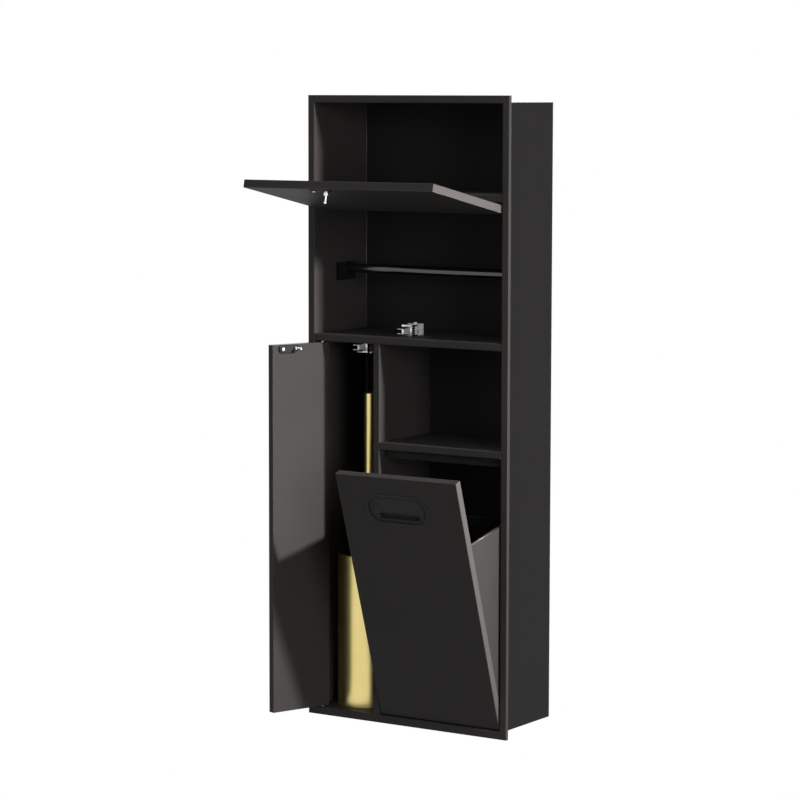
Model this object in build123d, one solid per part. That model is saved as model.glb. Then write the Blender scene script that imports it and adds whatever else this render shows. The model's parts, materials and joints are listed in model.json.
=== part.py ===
from build123d import *
import os
from math import cos, hypot, radians, sin

# Recessed toilet niche, shown open: flap raised, door swung out, bin tilted out.
# Millimetres. X runs to the right seen from the room, Y into the wall, Z up. The origin lies in the
# plane of the finished wall, on the niche's centre line, level with the bottom of the front frame.

# Box and front frame
niche_width = 300.0
niche_height = 800.0
niche_depth = 120.0
frame_face = 10.0
frame_thickness = 5.0
box_sheet = 1.5
edge_break = 0.5
fold_round = 1.5

# Shelves and partition, each folded from one sheet
shelf_thickness = 10.0
shelf_sheet = 1.2
brush_bay_width = 90.0
bin_bay_height = 342.0
side_niche_height = 124.0
roll_bay_height = 173.0

# Flap, door and bin front: a pan closed by a cover sheet
panel_thickness = 10.0
panel_sheet = 1.0
panel_gap = 1.5
panel_setback = 1.0
pivot_inset = 7.0
pivot_round = 2.5
flap_angle = 101.0
door_angle = 110.0
bin_angle = 18.0

# Pivots
stud_diameter = 4.0
stud_reach = 8.0
bush_diameter = 7.6
bush_length = 10.0
running_clearance = 0.05
seat_clearance = 0.05
seat_gap = 0.3

# Push latches
latch_width = 14.0
latch_height = 13.5
latch_wall = 1.1
latch_length = 40.0
latch_cavity = 14.0
latch_stand_off = 3.0
latch_across_roll_bay = 123.0
latch_across_brush_bay = 55.0
collar_thickness = 1.2
collar_rim = 0.6
jaw_length = 14.0
jaw_block = 6.5
jaw_arm = 1.9
jaw_lip = 1.2
jaw_lip_length = 2.0
jaw_bevel = 2.2
jaw_bevel_run = 3.2
jaw_travel = 4.0
strap_length = 11.5
strap_sheet = 1.2
latch_screw_diameter = 3.0
latch_screw_head = 5.4
latch_screw_head_height = 1.6
latch_spring_diameter = 7.0
latch_spring_wire = 0.8

# Strikes
strike_length = 30.0
strike_height = 11.0
strike_thickness = 2.2
strike_offset = 9.5
strike_stem = 2.4
strike_ball = 4.0
strike_reach = 15.0
strike_screw_diameter = 2.5
strike_screw_head = 4.2
strike_screw_head_height = 1.0

# Bin
bucket_sheet = 1.2
bucket_height = 242.0
bucket_back_drop = 10.0
bucket_depth = 96.0
bucket_side_gap = 2.0
bucket_floor_rise = 10.0
bucket_rim = 4.0
rail_height = 11.0
rail_depth = 9.0
rail_sheet = 1.2
rail_gap = 1.2
bin_stop_diameter = 5.0
bin_stop_back = 84.0
bin_stop_up = 42.0

# Bin pull
pull_length = 92.0
pull_height = 41.0
pull_below_top = 64.0
pull_off_centre = -5.0
pull_proud = 0.8
pull_lap = 1.5
pull_rim = 3.0
pull_wall = 1.2
pull_dish = 2.0
pull_slot_length = 60.0
pull_slot_height = 7.5
pull_slot_drop = 9.5
pull_screw_diameter = 5.0
pull_screw_across = 31.5
pull_screw_rise = 4.5

# Roll holder
post_depth = 36.0
post_height = 23.0
post_thickness = 6.0
post_round = 2.0
bar_diameter = 12.0
bar_wall = 1.0
bar_end_gap = 1.0
bar_cap = 3.0
bar_depth = 62.0
bar_above_shelf = 81.0
post_top_above_bar = 7.5

# Brush and its holder
holder_diameter = 80.0
holder_height = 197.0
holder_wall = 1.5
holder_from_left = 43.0
holder_depth = 55.0
liner_wall = 1.6
liner_lip = 1.0
liner_lip_inset = 0.4
handle_diameter = 16.0
handle_wall = 1.2
handle_length = 308.0
handle_cap = 3.0
brush_total = 404.0
brush_off_centre = 2.5
brush_neck = 12.0
brush_neck_diameter = 26.0
brush_head_diameter = 58.0
brush_core_diameter = 20.0
brush_head_round = 14.0

# How far a cut runs past what it cuts
past = 1.0

# Places that follow from the sizes
front = -frame_thickness
box_inner_half = niche_width / 2 - frame_face
inner_bottom = frame_face
inner_top = niche_height - frame_face
back_outside = niche_depth - frame_thickness
back_inside = back_outside - box_sheet
left_wall = -box_inner_half
right_wall = box_inner_half
partition_left = left_wall + brush_bay_width
partition_right = partition_left + shelf_thickness
bin_shelf_bottom = inner_bottom + bin_bay_height
bin_shelf_top = bin_shelf_bottom + shelf_thickness
roll_shelf_bottom = bin_shelf_top + side_niche_height
roll_shelf_top = roll_shelf_bottom + shelf_thickness
upper_shelf_bottom = roll_shelf_top + roll_bay_height
upper_shelf_top = upper_shelf_bottom + shelf_thickness
panel_front = front + panel_setback
panel_back = panel_front + panel_thickness
pivot_depth = panel_front + panel_thickness / 2

parts = {}


def block(x0, x1, y0, y1, z0, z1):
    """A box between two corners."""
    return Pos((x0 + x1) / 2, (y0 + y1) / 2, (z0 + z1) / 2) * Box(abs(x1 - x0), abs(y1 - y0), abs(z1 - z0))


def rod(start, end, radius):
    """A round rod from one point to another."""
    a = Vector(*start)
    b = Vector(*end)
    plane = Plane(origin=a, z_dir=b - a)
    return extrude(plane * Circle(radius), (b - a).length)


def one(shape):
    """The one solid of a shape, or a compound of its solids."""
    solids = shape.solids()
    return Compound(solids) if len(solids) > 1 else solids[0]


def turned(shape, angle, axis):
    """The shape turned about an axis by an angle in degrees."""
    return shape.rotate(axis, angle)


# Front frame: a flat rim that laps onto the wall round the opening
def front_frame():
    rim = block(-niche_width / 2, niche_width / 2, front, 0, 0, niche_height)
    rim -= block(left_wall, right_wall, front - past, past, inner_bottom, inner_top)
    face = rim.faces().sort_by(Axis.Y)[0]
    rim = fillet(face.inner_wires()[0].edges(), fold_round)
    return chamfer(rim.faces().sort_by(Axis.Y)[0].outer_wire().edges(), edge_break)


# Box: five plain sheets welded behind the frame
def box_sheets():
    low = inner_bottom - box_sheet
    high = inner_top + box_sheet
    outer = box_inner_half + box_sheet
    return {
        "left_side": block(-outer, left_wall, 0, back_inside, low, high),
        "right_side": block(right_wall, outer, 0, back_inside, low, high),
        "top_sheet": block(left_wall, right_wall, 0, back_inside, inner_top, high),
        "bottom_sheet": block(left_wall, right_wall, 0, back_inside, low, inner_bottom),
        "back_sheet": block(-outer, outer, back_inside, back_outside, low, high),
    }


# Shelves: a top, a front lip and a bottom folded from one sheet, open towards the back
def folded_shelf(x0, x1, z0):
    z1 = z0 + shelf_thickness
    shelf = block(x0, x1, front, back_inside, z0, z1)
    shelf = fillet(shelf.edges().filter_by(Axis.X).group_by(Axis.Y)[0], fold_round)
    inside = block(x0 - past, x1 + past, front + shelf_sheet, back_inside + past,
                   z0 + shelf_sheet, z1 - shelf_sheet)
    return shelf - inside


def partition_sheet():
    wall = block(partition_left, partition_right, front, back_inside, inner_bottom, roll_shelf_bottom)
    wall = fillet(wall.edges().filter_by(Axis.Z).group_by(Axis.Y)[0], fold_round)
    inside = block(partition_left + shelf_sheet, partition_right - shelf_sheet,
                   front + shelf_sheet, back_inside + past, inner_bottom - past, roll_shelf_bottom + past)
    return wall - inside


# Stop rail: an angle under the bin shelf, just behind the closed bin front
def stop_rail():
    y0 = panel_back + rail_gap
    z0 = bin_shelf_bottom - rail_height
    rail = block(partition_right, right_wall, y0, y0 + rail_depth, z0, bin_shelf_bottom)
    return rail - block(partition_right - past, right_wall + past, y0 + rail_sheet, y0 + rail_depth + past,
                        z0 - past, bin_shelf_bottom - rail_sheet)


# Panels, drawn closed in their opening: x0 to x1 wide and z0 to z1 high
def panel_pan(x0, x1, z0, z1, hinge_edge, bush_spots):
    """The outer pan, with a rounded edge along the hinge and a hole for each bush."""
    depth = panel_thickness - panel_sheet
    pan = block(x0, x1, panel_front, panel_front + depth, z0, z1)
    front_edges = pan.faces().sort_by(Axis.Y)[0].edges()
    hinge = front_edges.sort_by(hinge_edge)[0]
    pan = fillet(hinge, pivot_round)
    others = pan.faces().sort_by(Axis.Y)[0].edges().sort_by(hinge_edge)[1:]
    pan = chamfer(others, edge_break)
    pan -= block(x0 + panel_sheet, x1 - panel_sheet, panel_front + panel_sheet, panel_front + depth + past,
                 z0 + panel_sheet, z1 - panel_sheet)
    for start, end in bush_spots:
        pan -= rod(start, end, bush_diameter / 2 + seat_clearance)
    return pan


def panel_cover(x0, x1, z0, z1):
    """The sheet that closes the back of a pan."""
    return block(x0, x1, panel_back - panel_sheet, panel_back, z0, z1)


def bush(mouth, inward):
    """A blind plastic bush whose mouth lies in the panel's edge."""
    m = Vector(*mouth)
    d = Vector(*inward)
    end = m + d * bush_length
    body = rod(tuple(m), tuple(end), bush_diameter / 2)
    bore_end = m + d * (stud_reach - panel_gap + seat_gap)
    return body - rod(tuple(m - d), tuple(bore_end), stud_diameter / 2 + running_clearance)


def stud(foot, inward):
    """A pivot stud standing on a wall."""
    f = Vector(*foot)
    return rod(tuple(f), tuple(f + Vector(*inward) * stud_reach), stud_diameter / 2)


# Push latch, drawn with its mouth at the origin facing -Y and its foot below
def latch_pieces():
    half_w = latch_width / 2
    half_h = latch_height / 2
    in_w = half_w - 2 * latch_wall
    in_h = half_h - latch_wall
    body_start = jaw_length + collar_thickness
    cavity_end = body_start + latch_cavity
    body = block(-half_w, half_w, body_start, latch_length, -half_h, half_h)
    slide = seat_clearance * 2
    body -= block(-in_w - slide, in_w + slide, body_start - past, cavity_end, -in_h - slide, in_h + slide)
    screw_y = latch_length - strap_length / 2
    screw_hole = rod((0, screw_y, -half_h - past), (0, screw_y, half_h + strap_sheet + past),
                     latch_screw_diameter / 2 + seat_clearance)
    body -= screw_hole

    collar = block(-half_w - collar_rim, half_w + collar_rim, jaw_length, body_start,
                   -half_h, half_h + collar_rim)
    collar -= block(-in_w - slide, in_w + slide, jaw_length - past, body_start + past,
                    -in_h - slide, in_h + slide)

    # The jaws: two hooked arms on a block that slides in the body
    lip = in_h - jaw_arm - jaw_lip
    arm = [(0, lip), (jaw_lip_length, lip), (jaw_lip_length + jaw_lip, in_h - jaw_arm),
           (jaw_length + collar_thickness, in_h - jaw_arm), (jaw_length + collar_thickness, in_h),
           (jaw_bevel_run, in_h), (0, in_h - jaw_bevel)]
    side = Plane(origin=(-in_w, 0, 0), x_dir=(0, 1, 0), z_dir=(1, 0, 0))
    upper = extrude(side * make_face(Polyline(*arm, close=True)), 2 * in_w)
    lower = upper.mirror(Plane.XY)
    jaws = upper + lower + block(-in_w, in_w, body_start, body_start + jaw_block, -in_h, in_h)

    spring_r = latch_spring_diameter / 2
    spring_start = body_start + jaw_block + jaw_travel
    spring = rod((0, spring_start, 0), (0, cavity_end, 0), spring_r)
    spring -= rod((0, spring_start - past, 0), (0, cavity_end + past, 0), spring_r - latch_spring_wire)

    strap_start = latch_length - strap_length
    strap = block(-half_w - strap_sheet, half_w + strap_sheet, strap_start, latch_length,
                  -half_h, half_h + strap_sheet)
    strap -= block(-half_w, half_w, strap_start - past, latch_length + past, -half_h - past, half_h)
    strap -= screw_hole

    head = half_h + strap_sheet
    shank_end = -half_h - shelf_sheet
    screw = rod((0, screw_y, shank_end), (0, screw_y, head), latch_screw_diameter / 2)
    screw += rod((0, screw_y, head), (0, screw_y, head + latch_screw_head_height), latch_screw_head / 2)
    return {"body": body, "collar": collar, "jaws": jaws, "spring": spring, "strap": strap, "screw": screw}


def place_latch(prefix, x, surface, up):
    """Puts a latch on a shelf surface, standing up (1) or hanging (-1)."""
    mouth = panel_back + latch_stand_off
    place = Pos(x, mouth, surface + up * latch_height / 2)
    if up < 0:
        place = place * Rot(0, 180, 0)
    for name, piece in latch_pieces().items():
        parts[prefix + "_latch_" + name] = place * piece
    return (x, mouth + latch_length - strap_length / 2)


# Strike: a small plate with a ball-headed pin that the jaws hold
def strike_pieces(x, z, plate_side):
    """Drawn on the inner face of a closed panel, the pin at x, z and the plate reaching to plate_side."""
    y0 = panel_back
    y1 = y0 + strike_thickness
    cx = x + plate_side * strike_offset
    plate = extrude(Plane(origin=(cx, y1, z), z_dir=(0, -1, 0), x_dir=(1, 0, 0))
                    * RectangleRounded(strike_length, strike_height, strike_height / 2 - edge_break),
                    strike_thickness)
    plate -= rod((x, y0 - past, z), (x, y1 + past, z), strike_stem / 2 + seat_clearance)
    screw_x = cx + plate_side * (strike_length / 2 - strike_height / 2)
    hole_radius = strike_screw_diameter / 2 + seat_clearance
    hole = rod((screw_x, y0 - panel_sheet - past, z), (screw_x, y1 + past, z), hole_radius)
    plate -= hole
    ball_y = y1 + strike_reach - strike_ball / 2
    pin = rod((x, y0, z), (x, ball_y, z), strike_stem / 2) + Pos(x, ball_y, z) * Sphere(strike_ball / 2)
    screw = rod((screw_x, y0 - panel_sheet, z), (screw_x, y1, z), strike_screw_diameter / 2)
    screw += rod((screw_x, y1, z), (screw_x, y1 + strike_screw_head_height, z), strike_screw_head / 2)
    return plate, pin, screw, hole


# Fixed pieces
parts["front_frame"] = front_frame()
parts.update(box_sheets())
parts["upper_shelf"] = folded_shelf(left_wall, right_wall, upper_shelf_bottom)
parts["roll_shelf"] = folded_shelf(left_wall, right_wall, roll_shelf_bottom)
parts["bin_shelf"] = folded_shelf(partition_right, right_wall, bin_shelf_bottom)
parts["partition"] = partition_sheet()
parts["bin_stop_rail"] = stop_rail()

# Latches on the roll shelf: one stands on it for the flap, one hangs under it for the door
flap_latch_x = left_wall + latch_across_roll_bay
door_latch_x = left_wall + latch_across_brush_bay
latch_screws = [place_latch("flap", flap_latch_x, roll_shelf_top, 1),
                place_latch("door", door_latch_x, roll_shelf_bottom, -1)]
screw_hole_radius = latch_screw_diameter / 2 + seat_clearance
for (sx, sy), z in zip(latch_screws, (roll_shelf_top, roll_shelf_bottom)):
    through = shelf_sheet + past
    parts["roll_shelf"] -= rod((sx, sy, z - through), (sx, sy, z + through), screw_hole_radius)


# Flap
flap_x0 = left_wall + panel_gap
flap_x1 = right_wall - panel_gap
flap_z0 = roll_shelf_top + panel_gap
flap_z1 = upper_shelf_bottom - panel_gap
flap_pivot_z = flap_z1 - pivot_inset
flap_bush_ends = [((flap_x0, pivot_depth, flap_pivot_z), (1, 0, 0)),
                  ((flap_x1, pivot_depth, flap_pivot_z), (-1, 0, 0))]


def spots(ends):
    """The stretch of panel edge that each bush passes through."""
    out = []
    for mouth, inward in ends:
        m = Vector(*mouth)
        d = Vector(*inward)
        out.append((tuple(m - d), tuple(m + d * (panel_sheet + past))))
    return out


def pivot_set(name, ends):
    """The bushes in a panel's edges and the studs that they turn on."""
    studs = []
    bushes = []
    for mouth, inward in ends:
        foot = Vector(*mouth) - Vector(*inward) * panel_gap
        studs.append(stud(tuple(foot), inward))
        bushes.append(bush(mouth, inward))
    parts[name + "_pivot_studs"] = Compound(children=[one(s) for s in studs])
    return Compound(children=[one(b) for b in bushes])


downwards = Axis((0, 0, 0), (0, 0, -1))
flap_axis = Axis((0, pivot_depth, flap_pivot_z), (-1, 0, 0))
flap_strike_z = roll_shelf_top + latch_height / 2
strike_plate, strike_pin, strike_screw, strike_hole = strike_pieces(flap_latch_x, flap_strike_z, -1)
flap_pieces = {
    "flap_pan": panel_pan(flap_x0, flap_x1, flap_z0, flap_z1, downwards, spots(flap_bush_ends)),
    "flap_cover": panel_cover(flap_x0, flap_x1, flap_z0, flap_z1) - strike_hole,
    "flap_bushes": pivot_set("flap", flap_bush_ends),
    "flap_strike_plate": strike_plate,
    "flap_strike_pin": strike_pin,
    "flap_strike_screw": strike_screw,
}
for name, piece in flap_pieces.items():
    parts[name] = turned(piece, flap_angle, flap_axis)

# Door
door_x0 = left_wall + panel_gap - edge_break
door_x1 = partition_left - panel_gap
door_z0 = inner_bottom + panel_gap
door_z1 = roll_shelf_bottom - panel_gap
door_pivot_x = door_x0 + pivot_inset
door_bush_ends = [((door_pivot_x, pivot_depth, door_z0), (0, 0, 1)),
                  ((door_pivot_x, pivot_depth, door_z1), (0, 0, -1))]
door_axis = Axis((door_pivot_x, pivot_depth, 0), (0, 0, -1))
door_strike_z = roll_shelf_bottom - latch_height / 2
strike_plate, strike_pin, strike_screw, strike_hole = strike_pieces(door_latch_x, door_strike_z, 1)
door_pieces = {
    "door_pan": panel_pan(door_x0, door_x1, door_z0, door_z1, Axis.X, spots(door_bush_ends)),
    "door_cover": panel_cover(door_x0, door_x1, door_z0, door_z1) - strike_hole,
    "door_bushes": pivot_set("door", door_bush_ends),
    "door_strike_plate": strike_plate,
    "door_strike_pin": strike_pin,
    "door_strike_screw": strike_screw,
}
for name, piece in door_pieces.items():
    parts[name] = turned(piece, door_angle, door_axis)

# Bin
bin_x0 = partition_right + panel_gap
bin_x1 = right_wall - panel_gap
bin_z0 = inner_bottom + panel_gap
bin_z1 = bin_shelf_bottom - panel_gap
bin_pivot_z = bin_z0 + pivot_inset
bin_bush_ends = [((bin_x0, pivot_depth, bin_pivot_z), (1, 0, 0)),
                 ((bin_x1, pivot_depth, bin_pivot_z), (-1, 0, 0))]
bin_axis = Axis((0, pivot_depth, bin_pivot_z), (1, 0, 0))
pull_x = (bin_x0 + bin_x1) / 2 + pull_off_centre
pull_z = bin_z1 - pull_below_top + pull_height / 2


def pull_plane(y):
    """A plane across the bin front at depth y, drawn from the room side."""
    return Plane(origin=(pull_x, y, pull_z), x_dir=(1, 0, 0), z_dir=(0, -1, 0))


def pull_cut(length, height, y0, y1, dx=0.0, dz=0.0):
    """A stadium-shaped block from depth y0 back to y1."""
    return extrude(pull_plane(y1) * Pos(dx, dz) * SlotOverall(length, height), y1 - y0)


def bin_pull():
    """A dished plastic pull with a finger slot, its rim lapping onto the pan."""
    pocket_back = panel_back - panel_sheet
    fit = 2 * (pull_lap + seat_clearance)
    slot_end = pocket_back - pull_wall
    pull = pull_cut(pull_length, pull_height, panel_front - pull_proud, panel_front)
    pull += pull_cut(pull_length - fit, pull_height - fit, panel_front, pocket_back)
    pull -= pull_cut(pull_length - 2 * pull_rim, pull_height - 2 * pull_rim,
                     panel_front - pull_proud - past, panel_front + pull_dish)
    pull -= pull_cut(pull_slot_length, pull_slot_height, panel_front, slot_end, dz=-pull_slot_drop)
    screw_x, screw_z = pull_screw_place()
    pull -= rod((screw_x, panel_front, screw_z), (screw_x, slot_end, screw_z), pull_screw_diameter / 2)
    return pull


def pull_screw_place():
    return pull_x - pull_screw_across, pull_z + pull_screw_rise


def pull_screw():
    """The round head of the screw that holds the pull."""
    x, z = pull_screw_place()
    top = panel_front + pull_dish - edge_break
    bottom = panel_back - panel_sheet - pull_wall
    return rod((x, top, z), (x, bottom, z), pull_screw_diameter / 2 - seat_clearance)


def bucket():
    """The bin's box, folded from one sheet: lower at the back, with a rim turned in along each side."""
    y0 = panel_back
    y1 = y0 + bucket_depth
    z0 = bin_z0 + bucket_floor_rise
    z1 = z0 + bucket_height
    t = bucket_sheet

    def slab(inset, wall, rise):
        """The side outline, moved in by a wall and raised at the top, as wide as the box less two insets."""
        outline = [(y0 - wall, z0 + wall), (y1 - wall, z0 + wall),
                   (y1 - wall, z1 - bucket_back_drop + rise), (y0 - wall, z1 + rise)]
        start = partition_right + bucket_side_gap + inset
        side = Plane(origin=(start, 0, 0), x_dir=(0, 1, 0), z_dir=(1, 0, 0))
        width = right_wall - partition_right - 2 * (bucket_side_gap + inset)
        return extrude(side * make_face(Polyline(*outline, close=True)), width)

    return slab(0, 0, 0) - slab(t, t, -t) - slab(bucket_rim, t, past)


def bin_stop_pins():
    """Pins on the bucket's sides that come up against the studs on the walls."""
    y = pivot_depth + bin_stop_back
    z = bin_pivot_z + bin_stop_up
    pins = []
    for wall, side in ((partition_right, 1), (right_wall, -1)):
        start = wall + side * bucket_side_gap
        pins.append(rod((start, y, z), (wall + side * seat_gap, y, z), bin_stop_diameter / 2))
    return Compound(children=[one(p) for p in pins])


def bin_stop_studs():
    """Studs on the walls, just past where the pins arrive when the bin is tilted out."""
    a = radians(bin_angle)
    y = bin_stop_back * cos(a) - bin_stop_up * sin(a)
    z = bin_stop_back * sin(a) + bin_stop_up * cos(a)
    reach = hypot(y, z)
    off = bin_stop_diameter + seat_gap
    cy = pivot_depth + y - off * z / reach
    cz = bin_pivot_z + z + off * y / reach
    studs = []
    for wall, side in ((partition_right, 1), (right_wall, -1)):
        end = wall + side * (bucket_side_gap - seat_gap)
        studs.append(rod((wall, cy, cz), (end, cy, cz), bin_stop_diameter / 2))
    return Compound(children=[one(s) for s in studs])


bin_pan = panel_pan(bin_x0, bin_x1, bin_z0, bin_z1, Axis.Z, spots(bin_bush_ends))
bin_pan -= pull_cut(pull_length - 2 * pull_lap, pull_height - 2 * pull_lap,
                    panel_front - past, panel_front + panel_sheet + past)
bin_pieces = {
    "bin_pan": bin_pan,
    "bin_cover": panel_cover(bin_x0, bin_x1, bin_z0, bin_z1),
    "bin_bucket": bucket(),
    "bin_bushes": pivot_set("bin", bin_bush_ends),
    "bin_pull": bin_pull(),
    "bin_pull_screw": pull_screw(),
    "bin_stop_pins": bin_stop_pins(),
}
for name, piece in bin_pieces.items():
    parts[name] = turned(piece, bin_angle, bin_axis)
parts["bin_stop_studs"] = bin_stop_studs()

# Roll holder: two posts with slots open at the top, and a tube that drops into them
bar_z = roll_shelf_top + bar_above_shelf


def roll_post(wall, side):
    """A post on a side wall, its slot open at the top and closed by the wall at its end."""
    inner = wall + side * post_thickness
    top = bar_z + post_top_above_bar
    half = post_depth / 2
    post = block(wall, inner, bar_depth - half, bar_depth + half, top - post_height, top)
    post = fillet(post.edges().filter_by(Axis.X), post_round)
    slot_radius = bar_diameter / 2 + running_clearance
    start = wall + side * bar_end_gap / 2
    slot = rod((start, bar_depth, bar_z), (inner + side, bar_depth, bar_z), slot_radius)
    slot += block(start, inner + side, bar_depth - slot_radius, bar_depth + slot_radius, bar_z, top + past)
    return post - slot


parts["roll_post_left"] = roll_post(left_wall, 1)
parts["roll_post_right"] = roll_post(right_wall, -1)
bar_start = left_wall + bar_end_gap
bar_end = right_wall - bar_end_gap
tube = rod((bar_start + bar_cap, bar_depth, bar_z), (bar_end - bar_cap, bar_depth, bar_z), bar_diameter / 2)
tube -= rod((bar_start, bar_depth, bar_z), (bar_end, bar_depth, bar_z), bar_diameter / 2 - bar_wall)
parts["roll_bar"] = tube


def bar_end_cap(start, side):
    """A cap on the end of the tube, with a plug that fits inside it."""
    shoulder = start + side * bar_cap
    cap = rod((start, bar_depth, bar_z), (shoulder, bar_depth, bar_z), bar_diameter / 2)
    cap = fillet(cap.edges().sort_by(Axis.X)[0 if side > 0 else -1], edge_break)
    plug_end = shoulder + side * 2 * bar_cap
    return cap + rod((shoulder, bar_depth, bar_z), (plug_end, bar_depth, bar_z),
                     bar_diameter / 2 - bar_wall - seat_clearance)


parts["roll_bar_caps"] = Compound(children=[one(bar_end_cap(bar_start, 1)), one(bar_end_cap(bar_end, -1))])

# Brush and holder
holder_x = left_wall + holder_from_left
holder_radius = holder_diameter / 2
holder_bottom = inner_bottom
rim_z = holder_bottom + holder_height


def upright(z0, z1, radius, x=holder_x):
    """A standing round rod at the holder's depth."""
    return rod((x, holder_depth, z0), (x, holder_depth, z1), radius)


def holder():
    """A round metal cup, open at the top."""
    shell = upright(holder_bottom, rim_z, holder_radius)
    return shell - upright(liner_bottom, rim_z + past, holder_radius - holder_wall)


def liner():
    """A plastic cup inside the holder, its lip resting on the rim."""
    outer = holder_radius - holder_wall - seat_gap
    lip_top = rim_z + liner_lip
    shell = upright(liner_bottom, rim_z, outer)
    shell += upright(rim_z, lip_top, holder_radius - liner_lip_inset)
    return shell - upright(liner_bottom + liner_wall, lip_top + past, outer - liner_wall)


liner_bottom = holder_bottom + holder_wall
parts["brush_holder"] = holder()
parts["brush_liner"] = liner()

# Brush: a capped tube on a plastic core that carries the bristles
brush_x = holder_x + brush_off_centre
brush_bottom = liner_bottom + liner_wall
brush_top = brush_bottom + brush_total
handle_bottom = brush_top - handle_length
handle_top = brush_top - handle_cap
handle_radius = handle_diameter / 2
head_top = handle_bottom - brush_neck
core_bottom = brush_bottom + brush_head_round


def brush_rod(z0, z1, radius):
    """A standing round rod on the brush's own axis."""
    return upright(z0, z1, radius, brush_x)


def brush_handle():
    tube = brush_rod(handle_bottom, handle_top, handle_radius)
    return tube - brush_rod(handle_bottom + handle_cap, brush_top, handle_radius - handle_wall)


def brush_handle_cap():
    """A cap on the tube, with a plug that fits inside it."""
    cap = brush_rod(handle_top, brush_top, handle_radius)
    cap = chamfer(cap.edges().sort_by(Axis.Z)[-1], 2 * edge_break)
    plug_radius = handle_radius - handle_wall - seat_clearance
    return cap + brush_rod(handle_top - 2 * handle_cap, handle_top, plug_radius)


def brush_core():
    """A rod inside the bristles, widening under the handle to a neck."""
    neck = Pos(brush_x, holder_depth, (head_top + handle_bottom) / 2) * Cone(
        brush_neck_diameter / 2, handle_radius, brush_neck)
    return neck + brush_rod(core_bottom, head_top, brush_core_diameter / 2)


def brush_bristles():
    """The bristles' outer form, round at both ends."""
    head = brush_rod(brush_bottom, head_top, brush_head_diameter / 2)
    head = fillet(head.edges().filter_by(GeomType.CIRCLE), brush_head_round)
    return head - brush_rod(core_bottom, head_top + past, brush_core_diameter / 2)


parts["brush_handle"] = brush_handle()
parts["brush_handle_cap"] = brush_handle_cap()
parts["brush_core"] = brush_core()
parts["brush_bristles"] = brush_bristles()

os.makedirs("parts", exist_ok=True)
for name, piece in parts.items():
    export_step(one(piece), os.path.join("parts", name + ".step"))
print(len(parts), "parts")
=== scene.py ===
import json
import math
import random

import bmesh
import bpy
from mathutils import Euler, Matrix, Vector


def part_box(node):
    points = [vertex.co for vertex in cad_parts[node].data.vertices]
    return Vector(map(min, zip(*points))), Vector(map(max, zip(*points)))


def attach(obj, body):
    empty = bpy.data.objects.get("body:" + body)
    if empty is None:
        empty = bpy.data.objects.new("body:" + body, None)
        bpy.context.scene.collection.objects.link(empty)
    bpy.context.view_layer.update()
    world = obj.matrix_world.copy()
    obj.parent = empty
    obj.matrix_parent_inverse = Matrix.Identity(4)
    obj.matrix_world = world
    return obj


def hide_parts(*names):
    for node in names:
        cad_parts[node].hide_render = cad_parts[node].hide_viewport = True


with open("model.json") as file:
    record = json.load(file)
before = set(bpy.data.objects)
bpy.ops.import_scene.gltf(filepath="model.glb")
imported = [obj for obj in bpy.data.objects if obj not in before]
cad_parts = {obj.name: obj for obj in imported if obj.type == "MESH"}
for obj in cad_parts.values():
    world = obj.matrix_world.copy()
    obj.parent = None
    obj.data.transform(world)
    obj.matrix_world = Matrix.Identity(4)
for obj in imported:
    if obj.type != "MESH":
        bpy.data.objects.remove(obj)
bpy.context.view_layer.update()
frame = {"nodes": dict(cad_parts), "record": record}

MM = 0.001
node = frame["nodes"]


# Node helpers
def add_node(tree, kind, **settings):
    """A shader node with its properties set."""
    new = tree.nodes.new("ShaderNode" + kind)
    for key, value in settings.items():
        setattr(new, key, value)
    return new


def put(tree, socket, value):
    """Links an output to a socket, or sets the socket's own value."""
    if isinstance(value, bpy.types.NodeSocket):
        tree.links.new(value, socket)
    else:
        socket.default_value = value


def new_material(name):
    """An empty material with its Principled shader."""
    made = bpy.data.materials.new(name)
    made.use_nodes = True
    return made, made.node_tree, made.node_tree.nodes["Principled BSDF"]


def place(tree, stretch):
    """Object coordinates in metres, stretched where a pattern runs one way."""
    where = add_node(tree, "TexCoord")
    shape = add_node(tree, "Mapping")
    shape.inputs["Scale"].default_value = stretch
    tree.links.new(where.outputs["Object"], shape.inputs["Vector"])
    return shape.outputs["Vector"]


def noise(tree, scale, detail, stretch=(1, 1, 1)):
    """Noise from 0 to 1, its grain 1 / scale metres."""
    made = add_node(tree, "TexNoise")
    made.inputs["Scale"].default_value = scale
    made.inputs["Detail"].default_value = detail
    made.inputs["Roughness"].default_value = 0.55
    tree.links.new(place(tree, stretch), made.inputs["Vector"])
    return made.outputs["Fac"]


def span(tree, value, source, target):
    """The value carried from the source range to the target range."""
    made = add_node(tree, "MapRange")
    put(tree, made.inputs["Value"], value)
    for title, ends in (("From", source), ("To", target)):
        for side, number in zip(("Min", "Max"), ends):
            made.inputs[title + " " + side].default_value = number
    return made.outputs["Result"]


def blend_colour(tree, factor, first, second):
    """A colour between two others."""
    made = add_node(tree, "Mix", data_type="RGBA")
    put(tree, made.inputs["Factor"], factor)
    put(tree, made.inputs["A"], first)
    put(tree, made.inputs["B"], second)
    return made.outputs["Result"]


def combine(tree, operation, first, second):
    """One arithmetic step on two values."""
    made = add_node(tree, "Math", operation=operation)
    put(tree, made.inputs[0], first)
    put(tree, made.inputs[1], second)
    return made.outputs["Value"]


def edges(tree, radius, reach=0.35):
    """1 along sharp edges, 0 on the open surface."""
    soft = add_node(tree, "Bevel", samples=4)
    soft.inputs["Radius"].default_value = radius
    sharp = add_node(tree, "NewGeometry")
    dot = add_node(tree, "VectorMath", operation="DOT_PRODUCT")
    tree.links.new(soft.outputs["Normal"], dot.inputs[0])
    tree.links.new(sharp.outputs["Normal"], dot.inputs[1])
    return span(tree, dot.outputs["Value"], (1.0, 1.0 - reach), (0.0, 1.0))


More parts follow.
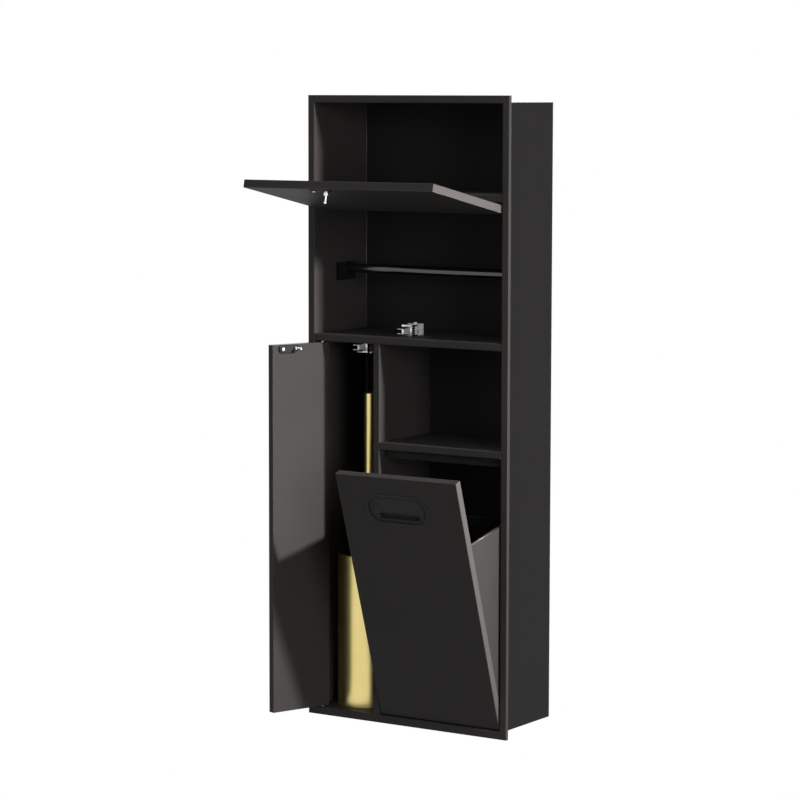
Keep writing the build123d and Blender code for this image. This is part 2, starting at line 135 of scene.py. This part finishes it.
def facing(tree, axis, source, target):
    """How far a face looks along a world axis, carried to the target range."""
    parts = add_node(tree, "SeparateXYZ")
    tree.links.new(add_node(tree, "NewGeometry").outputs["True Normal"], parts.inputs["Vector"])
    return span(tree, parts.outputs[axis], source, target)


def bump(tree, shader, height, depth, strength):
    """Relief of a given depth in metres."""
    made = add_node(tree, "Bump")
    made.inputs["Strength"].default_value = strength
    made.inputs["Distance"].default_value = depth
    tree.links.new(height, made.inputs["Height"])
    tree.links.new(made.outputs["Normal"], shader.inputs["Normal"])


def direct_rays(tree):
    """1 for what the eye sees, also in a mirror or through glass, 0 for light that falls on things."""
    path = add_node(tree, "LightPath")
    seen = combine(tree, "MAXIMUM", path.outputs["Is Camera Ray"], path.outputs["Is Glossy Ray"])
    return combine(tree, "MAXIMUM", seen, path.outputs["Is Transmission Ray"])


def rgb(red, green, blue):
    return (red, green, blue, 1.0)


def shaded(colour, share):
    """A colour at a share of its brightness."""
    return rgb(*(part * share for part in colour))


# Materials
worn_edge = 0.6 * MM


def coated_steel(name, colour, rough, worn, specular=0.5, painted_shade_share=1.0, ends=1.0):
    """Powder-coated sheet: a fine orange-peel skin, slow patches of gloss, edges rubbed a little paler.

    Faces that look towards the room, such as a bucket's inner back, are dimmed to a share as painted shade,
    and the cut ends of a panel, which look to the right, are made paler by the ends share as painted light."""
    made, tree, shader = new_material(name)
    patch = noise(tree, scale=9, detail=4)
    peel = noise(tree, scale=1100, detail=2)
    broken = span(tree, noise(tree, scale=60, detail=5), (0.35, 0.75), (0.25, 1.0))
    rub = combine(tree, "MULTIPLY", edges(tree, worn_edge), broken)
    drift = span(tree, patch, (0.3, 0.7), (0.0, 1.0))
    tone = blend_colour(tree, drift, shaded(colour, 0.93), shaded(colour, 1.07))
    # Painted shade: faces that look towards the room are dimmed to the given share of the colour.
    if painted_shade_share < 1.0:
        room_facing_shade = facing(tree, "Y", (-0.8, -0.4), (1.0, 0.0))
        tone = blend_colour(tree, room_facing_shade, tone, shaded(colour, painted_shade_share))
    # Painted light: faces that look to the right are made paler by the ends share.
    if ends > 1.0:
        right_facing_light = facing(tree, "X", (0.9, 0.98), (0.0, 1.0))
        tone = blend_colour(tree, right_facing_light, tone, shaded(colour, ends))
    put(tree, shader.inputs["Base Color"], blend_colour(tree, rub, tone, rgb(*worn)))
    gloss = span(tree, patch, (0.25, 0.75), (rough - 0.03, rough + 0.04))
    polish = combine(tree, "MULTIPLY", rub, 0.08)
    put(tree, shader.inputs["Roughness"], combine(tree, "SUBTRACT", gloss, polish))
    shader.inputs["Specular IOR Level"].default_value = specular
    bump(tree, shader, peel, depth=0.06 * MM, strength=0.35)
    return made


def moulded_plastic(name, colour, rough, specular=0.25):
    """Moulded plastic with a fine spark texture."""
    made, tree, shader = new_material(name)
    patch = noise(tree, scale=30, detail=3)
    tone = blend_colour(tree, patch, shaded(colour, 0.85), shaded(colour, 1.15))
    put(tree, shader.inputs["Base Color"], tone)
    put(tree, shader.inputs["Roughness"], span(tree, patch, (0.2, 0.8), (rough - 0.05, rough + 0.06)))
    shader.inputs["Specular IOR Level"].default_value = specular
    bump(tree, shader, noise(tree, scale=1600, detail=3), depth=0.04 * MM, strength=0.4)
    return made


def bright_metal(name, colour, rough, metal=1.0, painted_highlight_radius=0.0):
    """Plated metal with a faint grain, duller patches and, where asked, a painted highlight along sharp
    edges.
    """
    made, tree, shader = new_material(name)
    shader.inputs["Metallic"].default_value = metal
    smudge = noise(tree, scale=120, detail=4)
    dulled = span(tree, smudge, (0.35, 0.7), (0.0, 1.0))
    tone = blend_colour(tree, dulled, rgb(*colour), shaded(colour, 0.86))
    # Painted highlight: sharp edges are blended towards white.
    if painted_highlight_radius > 0.0:
        tone = blend_colour(tree, edges(tree, painted_highlight_radius, reach=0.2), tone, rgb(0.95, 0.95, 0.95))
    put(tree, shader.inputs["Base Color"], tone)
    put(tree, shader.inputs["Roughness"], span(tree, smudge, (0.3, 0.7), (rough - 0.05, rough + 0.08)))
    bump(tree, shader, noise(tree, scale=900, detail=3), depth=0.02 * MM, strength=0.3)
    return made


def satin_gold():
    """Pale gold, brushed round the tube: fine rings, a slow change of tone and a soft sheen."""
    made, tree, shader = new_material("gold_satin")
    shader.inputs["Metallic"].default_value = 1.0
    rings = noise(tree, scale=400, detail=4, stretch=(0.04, 0.04, 6.0))
    cloud = noise(tree, scale=14, detail=3)
    drift = span(tree, cloud, (0.3, 0.7), (0.0, 1.0))
    base = blend_colour(tree, drift, rgb(0.79, 0.65, 0.26), rgb(0.85, 0.71, 0.31))
    brushed = span(tree, rings, (0.3, 0.7), (0.0, 0.22))
    base = blend_colour(tree, brushed, base, rgb(0.68, 0.53, 0.17))
    edge = edges(tree, worn_edge)
    put(tree, shader.inputs["Base Color"], blend_colour(tree, edge, base, rgb(0.92, 0.83, 0.50)))
    put(tree, shader.inputs["Roughness"], span(tree, rings, (0.25, 0.75), (0.29, 0.35)))
    bump(tree, shader, rings, depth=0.004 * MM, strength=0.3)
    return made


def bristle_fibre():
    """Pale nylon with a grain along the strands."""
    made, tree, shader = new_material("bristle_nylon")
    along = noise(tree, scale=700, detail=2, stretch=(1, 1, 0.1))
    tone = blend_colour(tree, along, rgb(0.62, 0.62, 0.60), rgb(0.80, 0.80, 0.78))
    put(tree, shader.inputs["Base Color"], tone)
    put(tree, shader.inputs["Roughness"], span(tree, along, (0.2, 0.8), (0.35, 0.5)))
    bump(tree, shader, along, depth=0.03 * MM, strength=0.3)
    return made


black = (0.040, 0.038, 0.037)
black_worn = (0.12, 0.115, 0.11)
black_coat = coated_steel("black_coat", black, 0.54, black_worn, specular=0.08)
post_coat = coated_steel("post_coat", (0.009, 0.0086, 0.0084), 0.6, (0.04, 0.038, 0.036), specular=0.06)
# Painted light: the cut ends of the flap and bin panels, which look to the right, are made 2.3 times paler.
panel_coat = coated_steel("panel_coat", black, 0.54, black_worn, specular=0.08, ends=2.3)
# Painted shade: a darker copy of the black coat for the inner top, bottom and back sheets and the bin stop
# rail.
painted_shade_coat = coated_steel("painted_shade_coat", (0.020, 0.0192, 0.0185), 0.58, (0.07, 0.068, 0.066), specular=0.08)
# Painted shade: the bucket's faces that look towards the room, its inner back, are dimmed to 0.15 of its
# colour.
bucket_coat = coated_steel("bucket_coat", (0.044, 0.043, 0.042), 0.5, (0.13, 0.125, 0.12), specular=0.1,
                           painted_shade_share=0.15)
bar_coat = coated_steel("bar_coat", (0.008, 0.008, 0.008), 0.16, (0.03, 0.03, 0.03), specular=0.9)
black_plastic = moulded_plastic("black_plastic", (0.008, 0.008, 0.008), 0.42)
pull_plastic = moulded_plastic("pull_plastic", (0.034, 0.0325, 0.032), 0.5, specular=0.12)
liner_plastic = moulded_plastic("liner_plastic", (0.03, 0.03, 0.03), 0.5)
bright_plate = bright_metal("bright_plate", (0.86, 0.86, 0.87), 0.22)
zinc_pin = bright_metal("zinc_pin", (0.62, 0.62, 0.62), 0.34)
plate_satin = bright_metal("plate_satin", (0.92, 0.92, 0.92), 0.45, metal=0.1)
# Painted highlights: the jaws' sharp edges are blended towards white.
jaw_steel = bright_metal("jaw_steel", (0.22, 0.22, 0.22), 0.3, painted_highlight_radius=0.5 * MM)
hem_steel = bright_metal("hem_steel", (0.16, 0.156, 0.152), 0.42)
seam_paint = coated_steel("seam_paint", (0.075, 0.072, 0.07), 0.4, (0.14, 0.135, 0.13))
gold = satin_gold()
bristle = bristle_fibre()
finish_of_slot = {
    "black_coat": black_coat,
    "bucket_coat": bucket_coat,
    "bar_coat": bar_coat,
    "black_plastic": black_plastic,
    "pull_plastic": pull_plastic,
    "liner_plastic": liner_plastic,
    "bright_plate": bright_plate,
    "zinc_pin": zinc_pin,
    "gold_metal": gold,
    "bristles": bristle,
}
special_finishes = (
    (painted_shade_coat, ("top_sheet", "bottom_sheet", "back_sheet", "bin_stop_rail")),
    (post_coat, ("roll_post_left", "roll_post_right")),
    (panel_coat, ("flap_pan", "flap_cover", "bin_pan", "bin_cover")),
    (plate_satin, ("flap_latch_strap", "door_latch_strap")),
    (jaw_steel, ("flap_latch_jaws", "door_latch_jaws")),
)
finish_of_node = {name: finish for finish, names in special_finishes for name in names}
for part in frame["record"]["subparts"]:
    surface = node[part["node"]].data
    surface.materials.clear()
    surface.materials.append(finish_of_node.get(part["node"], finish_of_slot[part["material_slot"]]))


# Geometry helpers
joint_of = {joint["child"]: joint for joint in frame["record"]["behaviour"]["joints"]}


def corners(name):
    """A node's lowest and highest corners as it stands."""
    low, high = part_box(name)
    return Vector(low), Vector(high)


def opening_turn(body):
    """Carries a shape drawn on a closed panel to where the panel stands open."""
    joint = joint_of[body]
    pivot = Vector(joint["pos_m"])
    turn = Matrix.Rotation(-math.radians(joint["range_deg"][1]), 4, Vector(joint["axis"]))
    return Matrix.Translation(pivot) @ turn @ Matrix.Translation(-pivot)


def closed_spots(name, body):
    """A node's points with its panel closed."""
    back = opening_turn(body).inverted()
    return [back @ vertex.co for vertex in node[name].data.vertices]


def closed_box(name, body):
    """A node's lowest and highest corners with its panel closed."""
    spots = closed_spots(name, body)
    low = Vector([min(spot[axis] for spot in spots) for axis in range(3)])
    high = Vector([max(spot[axis] for spot in spots) for axis in range(3)])
    return low, high


def piece(name, mesh, finish, body, turn=None, smooth=True):
    """Links a finished mesh as a piece that rides on a body."""
    data = bpy.data.meshes.new(name)
    if turn is not None:
        mesh.transform(turn)
    bmesh.ops.recalc_face_normals(mesh, faces=mesh.faces)
    mesh.to_mesh(data)
    mesh.free()
    for face in data.polygons:
        face.use_smooth = smooth
    data.materials.append(finish)
    made = bpy.data.objects.new(name, data)
    bpy.context.scene.collection.objects.link(made)
    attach(made, body)
    return made


def tube(mesh, path, radius, closed=False, sides=8):
    """Sweeps a round section along a path."""
    rings = []
    count = len(path)
    for index, spot in enumerate(path):
        if closed:
            along = path[(index + 1) % count] - path[index - 1]
        else:
            along = path[min(index + 1, count - 1)] - path[max(index - 1, 0)]
        turn = along.to_track_quat("Z", "Y")
        ring = []
        for step in range(sides):
            angle = 2 * math.pi * step / sides
            out = Vector((radius * math.cos(angle), radius * math.sin(angle), 0))
            ring.append(mesh.verts.new(spot + turn @ out))
        rings.append(ring)
    for index in range(count if closed else count - 1):
        here, there = rings[index], rings[(index + 1) % count]
        for step in range(sides):
            after = (step + 1) % sides
            mesh.faces.new((here[step], here[after], there[after], there[step]))
    if not closed:
        mesh.faces.new(rings[0])
        mesh.faces.new(reversed(rings[-1]))


def arc(centre, radius, start, end, steps):
    """Points on an arc in the plane of a panel, x across and z up."""
    out = []
    for step in range(steps + 1):
        angle = math.radians(start + (end - start) * step / steps)
        out.append(centre + Vector((radius * math.cos(angle), 0, radius * math.sin(angle))))
    return out


def stadium(centre, length, height, steps=14):
    """A closed line round a stadium shape in the plane of a panel."""
    radius = height / 2
    shift = Vector((length / 2 - radius, 0, 0))
    return arc(centre + shift, radius, -90, 90, steps) + arc(centre - shift, radius, 90, 270, steps)


def soft_block(mesh, low, high, rounding):
    """A block with rounded edges, joined into a mesh."""
    made = bmesh.new()
    bmesh.ops.create_cube(made, size=1.0)
    size = high - low
    for vertex in made.verts:
        share = vertex.co + Vector((0.5, 0.5, 0.5))
        vertex.co = Vector((share.x * size.x, share.y * size.y, share.z * size.z)) + low
    bmesh.ops.bevel(made, geom=made.edges[:], offset=rounding, segments=2, affect="EDGES", profile=0.5)
    store = bpy.data.meshes.new("block_store")
    made.to_mesh(store)
    made.free()
    mesh.from_mesh(store)
    bpy.data.meshes.remove(store)


def outline_plate(mesh, outline, x_low, x_high):
    """A flat plate from an outline of y and z, between two x places."""
    low = [mesh.verts.new((x_low, y, z)) for y, z in outline]
    high = [mesh.verts.new((x_high, y, z)) for y, z in outline]
    mesh.faces.new(low)
    mesh.faces.new(reversed(high))
    for index in range(len(outline)):
        after = (index + 1) % len(outline)
        mesh.faces.new((low[index], low[after], high[after], high[index]))


def dome(mesh, centre, radius, rise, sides=16):
    """A low round head standing on a face that looks to the right."""
    turn = Vector((1, 0, 0)).to_track_quat("Z", "Y")
    rows = []
    for tilt in (0, 30, 60, 80):
        level = rise * math.sin(math.radians(tilt))
        reach = radius * math.cos(math.radians(tilt))
        row = []
        for step in range(sides):
            angle = 2 * math.pi * step / sides
            out = Vector((reach * math.cos(angle), reach * math.sin(angle), level))
            row.append(mesh.verts.new(centre + turn @ out))
        rows.append(row)
    for low_row, high_row in zip(rows, rows[1:]):
        for step in range(sides):
            after = (step + 1) % sides
            mesh.faces.new((low_row[step], low_row[after], high_row[after], high_row[step]))
    mesh.faces.new(rows[-1])
    mesh.faces.new(reversed(rows[0]))


# Latches
rib_shares = (0.16, 0.38, 0.6, 0.82)
rib_half = 0.45 * MM
rib_start = 0.6 * MM
rib_end = 6.0 * MM
rib_rise = 0.35 * MM
rib_sunk = 0.3 * MM
rib_rounding = 0.25 * MM
lever_start = 6.8 * MM
lever_sunk = 0.2 * MM
lever_rise = 0.8 * MM
lever_bevel = 0.15 * MM
lever_outline = ((0.0, -5.4), (1.4, -5.4), (1.4, -1.6), (4.2, -5.4), (5.8, -5.4), (2.6, -0.4), (5.8, 1.2),
                 (5.8, 4.4), (4.4, 5.4), (1.4, 5.4), (0.0, 4.4))
rivet_shares = (0.28, 0.72)
rivet_radius = 1.1 * MM
rivet_rise = 0.5 * MM
cross_long = 1.7 * MM
cross_short = 0.35 * MM
cross_sunk = 0.1 * MM
cross_rise = 0.06 * MM
cross_rounding = 0.05 * MM


def dress_latch(prefix, up):
    """Ribs and a lever on the body, rivets on the strap and a cross in the screw.

    Up is 1 for the latch that stands on the shelf and -1 for the one that hangs under it."""
    body_low, body_high = corners(prefix + "_latch_body")
    strap_low, strap_high = corners(prefix + "_latch_strap")
    screw_low, screw_high = corners(prefix + "_latch_screw")
    side = body_high.x
    height = body_high.z - body_low.z
    middle_z = (body_low.z + body_high.z) / 2

    ribs = bmesh.new()
    for share in rib_shares:
        z = body_low.z + share * height
        soft_block(ribs, Vector((side - rib_sunk, body_low.y + rib_start, z - rib_half)),
                   Vector((side + rib_rise, body_low.y + rib_end, z + rib_half)), rib_rounding)
    piece(prefix + "_latch_ribs", ribs, zinc_pin, "niche")

    lever = bmesh.new()
    start = body_low.y + lever_start
    outline = [(start + y * MM, middle_z + up * z * MM) for y, z in lever_outline]
    outline_plate(lever, outline, side - lever_sunk, side + lever_rise)
    bmesh.ops.bevel(lever, geom=lever.edges[:], offset=lever_bevel, segments=1, affect="EDGES")
    piece(prefix + "_latch_lever", lever, plate_satin, "niche", smooth=False)

    rivets = bmesh.new()
    for share in rivet_shares:
        y = strap_low.y + share * (strap_high.y - strap_low.y)
        dome(rivets, Vector((strap_high.x, y, middle_z)), rivet_radius, rivet_rise)
    piece(prefix + "_latch_rivets", rivets, zinc_pin, "niche")

    cross = bmesh.new()
    centre = (screw_low + screw_high) / 2
    face = screw_high.z if up > 0 else screw_low.z
    for half_x, half_y in ((cross_long, cross_short), (cross_short, cross_long)):
        soft_block(cross, Vector((centre.x - half_x, centre.y - half_y, face - cross_sunk)),
                   Vector((centre.x + half_x, centre.y + half_y, face + cross_rise)), cross_rounding)
    piece(prefix + "_latch_cross", cross, black_plastic, "niche")


dress_latch("flap", 1)
dress_latch("door", -1)


# Strikes
collar_radius = 1.9 * MM
collar_wire = 0.6 * MM
collar_lift = 0.4 * MM
cheek_inner = 1.3 * MM
cheek_outer = 2.7 * MM
cheek_half = 1.7 * MM
cheek_reach = 5.0 * MM
cheek_sunk = 0.1 * MM
cheek_rounding = 0.4 * MM
plate_bead_inset = 1.6 * MM
plate_bead = 0.4 * MM


def dress_strike(body):
    """A collar and two cheeks round the pin, and a bead round the plate."""
    turn = opening_turn(body)
    pin_low, pin_high = closed_box(body + "_strike_pin", body)
    plate_low, plate_high = closed_box(body + "_strike_plate", body)
    x = (pin_low.x + pin_high.x) / 2
    z = (pin_low.z + pin_high.z) / 2
    face = plate_high.y
    fork = bmesh.new()
    foot = Vector((x, face + collar_lift, z))
    tube(fork, arc(foot, collar_radius, 0, 360, 24)[:-1], collar_wire, closed=True)
    for side in (-1, 1):
        inner = x + side * cheek_inner
        outer = x + side * cheek_outer
        soft_block(fork, Vector((min(inner, outer), face - cheek_sunk, z - cheek_half)),
                   Vector((max(inner, outer), face + cheek_reach, z + cheek_half)), cheek_rounding)
    piece(body + "_strike_fork", fork, bright_plate, body, turn)

    bead = bmesh.new()
    centre = (plate_low + plate_high) / 2
    line = stadium(Vector((centre.x, face, centre.z)), plate_high.x - plate_low.x - plate_bead_inset,
                   plate_high.z - plate_low.z - plate_bead_inset)
    tube(bead, line, plate_bead, closed=True)
    piece(body + "_strike_bead", bead, black_plastic, body, turn)


dress_strike("flap")
dress_strike("door")


# Pull
screw_sunk = 0.5 * MM
rim_bead_inset = 3.4 * MM
rim_bead_depth = 0.25 * MM
rim_bead = 0.45 * MM
dish_bead_inset = 13 * MM
dish_bead = 0.35 * MM
slot_drop = 9.5 * MM
slot_length = 62 * MM
slot_height = 9.5 * MM
slot_bead = 0.5 * MM
crescent_radius = 4.6 * MM
crescent_wire = 0.6 * MM


def dress_pull():
    """A bead round the rim, one round the dish and one round its slot, and a crescent beside the screw."""
    turn = opening_turn("bin")
    low, high = closed_box("bin_pull", "bin")
    screw_low, screw_high = closed_box("bin_pull_screw", "bin")
    centre = (low + high) / 2
    dish = screw_low.y + screw_sunk
    length = high.x - low.x
    height = high.z - low.z
    beads = bmesh.new()
    rim_centre = Vector((centre.x, low.y + rim_bead_depth, centre.z))
    dish_centre = Vector((centre.x, dish, centre.z))
    slot_centre = Vector((centre.x, dish, centre.z - slot_drop))
    rim_line = stadium(rim_centre, length - rim_bead_inset, height - rim_bead_inset)
    dish_line = stadium(dish_centre, length - dish_bead_inset, height - dish_bead_inset)
    slot_line = stadium(slot_centre, slot_length, slot_height)
    for line, wire in ((rim_line, rim_bead), (dish_line, dish_bead), (slot_line, slot_bead)):
        tube(beads, line, wire, closed=True)
    piece("bin_pull_beads", beads, pull_plastic, "bin", turn)

    crescent = bmesh.new()
    screw = (screw_low + screw_high) / 2
    screw.y = dish
    tube(crescent, arc(screw, crescent_radius, 60, 250, 16), crescent_wire)
    piece("bin_pull_crescent", crescent, pull_plastic, "bin", turn)


dress_pull()


# Bucket
hem_radius = 0.6 * MM
hem_inset = 0.55 * MM
hem_start = 0.5 * MM
same_face = 0.1 * MM


def dress_bucket():
    """A rolled hem along the top of each side."""
    spots = closed_spots("bin_bucket", "bin")
    low, high = closed_box("bin_bucket", "bin")
    hem = bmesh.new()
    for edge_x, inward in ((low.x, 1), (high.x, -1)):
        outer = [spot for spot in spots if abs(spot.x - edge_x) < same_face]
        front_top = max((spot for spot in outer if spot.y < low.y + MM), key=lambda spot: spot.z)
        back_top = max((spot for spot in outer if spot.y > high.y - MM), key=lambda spot: spot.z)
        inset = Vector((inward * hem_inset, 0, 0))
        start = front_top + inset + Vector((0, hem_start, 0))
        tube(hem, [start, back_top + inset], hem_radius, sides=12)
    piece("bin_bucket_hem", hem, hem_steel, "bin", opening_turn("bin"))


dress_bucket()


# Seams
seam_radius = 0.6 * MM
seam_offset = 0.35 * MM


def dress_seams():
    """A thin bead of paint in each upright corner at the back."""
    left_high = corners("left_side")[1]
    right_low = corners("right_side")[0]
    back_low = corners("back_sheet")[0]
    shelf_low, shelf_high = corners("upper_shelf")
    roll_low, roll_high = corners("roll_shelf")
    top = corners("top_sheet")[0].z
    bottom = corners("bottom_sheet")[1].z
    bays = ((bottom, roll_low.z), (roll_high.z, shelf_low.z), (shelf_high.z, top))
    seams = bmesh.new()
    for x, inward in ((left_high.x, 1), (right_low.x, -1)):
        corner_x = x + inward * seam_offset
        for z_low, z_high in bays:
            line = [Vector((corner_x, back_low.y - seam_offset, z)) for z in (z_low + MM, z_high - MM)]
            tube(seams, line, seam_radius, sides=10)
    piece("corner_seams", seams, seam_paint, "niche")


dress_seams()


# Brush
head_rounding = 14 * MM
core_reach = 9 * MM
tuft_radius = 0.7 * MM
tuft_rings = 14
tufts_in_ring = 26
ring_margin = 2 * MM


def dress_brush():
    """Rings of bristles, rounded at both ends of the head."""
    low, high = corners("brush_bristles")
    core_low = corners("brush_core")[0]
    centre = (low + high) / 2
    radius = (high.x - low.x) / 2
    picker = random.Random(7)
    tufts = bmesh.new()
    for ring in range(tuft_rings):
        z = core_low.z + ring_margin + (high.z - core_low.z - 2 * ring_margin) * ring / (tuft_rings - 1)
        near_end = min(z - low.z, high.z - z)
        gap = max(0.0, head_rounding - near_end)
        reach = radius - head_rounding + math.sqrt(max(0.0, head_rounding ** 2 - gap ** 2))
        for step in range(tufts_in_ring):
            angle = 2 * math.pi * (step + 0.5 * (ring % 2)) / tufts_in_ring + picker.uniform(-0.02, 0.02)
            out = Vector((math.cos(angle), math.sin(angle), 0))
            root = Vector((centre.x, centre.y, z)) + out * core_reach
            tip_z = z + picker.uniform(-0.6, 0.6) * MM
            tip_reach = reach - picker.uniform(0, 1) * MM
            tip = Vector((centre.x, centre.y, tip_z)) + out * tip_reach
            tube(tufts, [root, (root + tip) / 2, tip], tuft_radius, sides=4)
    made = piece("brush_tufts", tufts, bristle, "brush", smooth=False)
    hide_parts("brush_bristles")


dress_brush()


# Studio
def backdrop_material():
    """White to the eye and in reflections, pale and matt to light that falls on it."""
    made, tree, shader = new_material("studio_white")
    shader.inputs["Base Color"].default_value = rgb(0.35, 0.35, 0.35)
    shader.inputs["Roughness"].default_value = 0.9
    glow = add_node(tree, "Emission")
    glow.inputs["Color"].default_value = rgb(1, 1, 1)
    glow.inputs["Strength"].default_value = 1.0
    blend = add_node(tree, "MixShader")
    put(tree, blend.inputs["Fac"], direct_rays(tree))
    tree.links.new(shader.outputs["BSDF"], blend.inputs[1])
    tree.links.new(glow.outputs["Emission"], blend.inputs[2])
    tree.links.new(blend.outputs["Shader"], tree.nodes["Material Output"].inputs["Surface"])
    return made


def studio_floor(half, level):
    """A level square sheet."""
    spots = [(-half, -half, level), (half, -half, level), (half, half, level), (-half, half, level)]
    mesh = bpy.data.meshes.new("studio_floor")
    mesh.from_pydata(spots, [], [(0, 1, 2, 3)])
    made = bpy.data.objects.new("studio_floor", mesh)
    bpy.context.scene.collection.objects.link(made)
    mesh.materials.append(backdrop_material())


def soft_lamp(name, stand, aim, width, height, spread, power, tint=(1.0, 1.0, 1.0)):
    """A rectangular lamp that shines at a point."""
    light = bpy.data.lights.new(name, "AREA")
    light.shape = "RECTANGLE"
    light.size = width
    light.size_y = height
    light.spread = math.radians(spread)
    light.color = tint
    light.energy = power
    made = bpy.data.objects.new(name, light)
    made.location = stand
    made.rotation_euler = (Vector(aim) - Vector(stand)).to_track_quat("-Z", "Y").to_euler()
    bpy.context.scene.collection.objects.link(made)
    return made


studio_floor(half=4.0, level=-0.45)

middle = (0.0, 0.0, 0.4)
warm = (1.0, 0.96, 0.95)
key_lamp = soft_lamp("key_lamp", stand=(2.6, -0.12, 1.3), aim=(0.0, -0.12, 0.4), width=0.16, height=0.2,
                     spread=50, power=12, tint=warm)
soft_lamp("side_lamp", stand=(2.4, -1.5, 0.8), aim=middle, width=0.9, height=1.2,
          spread=60, power=3.6, tint=warm)
soft_lamp("front_lamp", stand=(-0.6, -3.0, 1.6), aim=middle, width=1.6, height=1.6, spread=60, power=0.7)
soft_lamp("top_lamp", stand=(0.3, -0.7, 2.6), aim=middle, width=1.0, height=0.8, spread=60, power=1.2)
soft_lamp("back_lamp", stand=(-1.2, 2.8, 1.4), aim=middle, width=1.4, height=1.4, spread=60, power=10)

# The key lamp leaves out the right wall, whose outside is dim in the photograph
receivers = bpy.data.collections.new("key_lamp_receivers")
key_lamp.light_linking.receiver_collection = receivers
receivers.objects.link(node["right_side"])
receivers.collection_objects[0].light_linking.link_state = "EXCLUDE"

air_light = 0.08
world = bpy.data.worlds.new("studio_air")
bpy.context.scene.world = world
world.use_nodes = True
air = world.node_tree
background = air.nodes["Background"]
background.inputs["Color"].default_value = rgb(1, 1, 1)
put(air, background.inputs["Strength"], span(air, direct_rays(air), (0.0, 1.0), (air_light, 1.0)))

# Camera, solved from the straight edges of the photograph
photo_width = 800
focal_pixels = 2922
centre_x = 400.3
centre_y = 382.05
camera_yaw = 33.31
camera_pitch = 5.66
camera_roll = 0.11
sensor = 36.0
eye = bpy.data.cameras.new("studio_camera")
eye.sensor_width = sensor
eye.lens = focal_pixels / photo_width * sensor
eye.shift_x = -(centre_x - photo_width / 2) / photo_width
eye.shift_y = (centre_y - photo_width / 2) / photo_width
eye.clip_end = 100
camera = bpy.data.objects.new("studio_camera", eye)
camera.location = (2.0042, -3.0677, 0.8034)
heading = Euler((math.radians(90 - camera_pitch), 0, math.radians(camera_yaw))).to_matrix()
camera.rotation_euler = (heading @ Matrix.Rotation(math.radians(camera_roll), 3, "Z")).to_euler()
bpy.context.scene.collection.objects.link(camera)
bpy.context.scene.camera = camera
bpy.context.scene.view_settings.view_transform = "Standard"
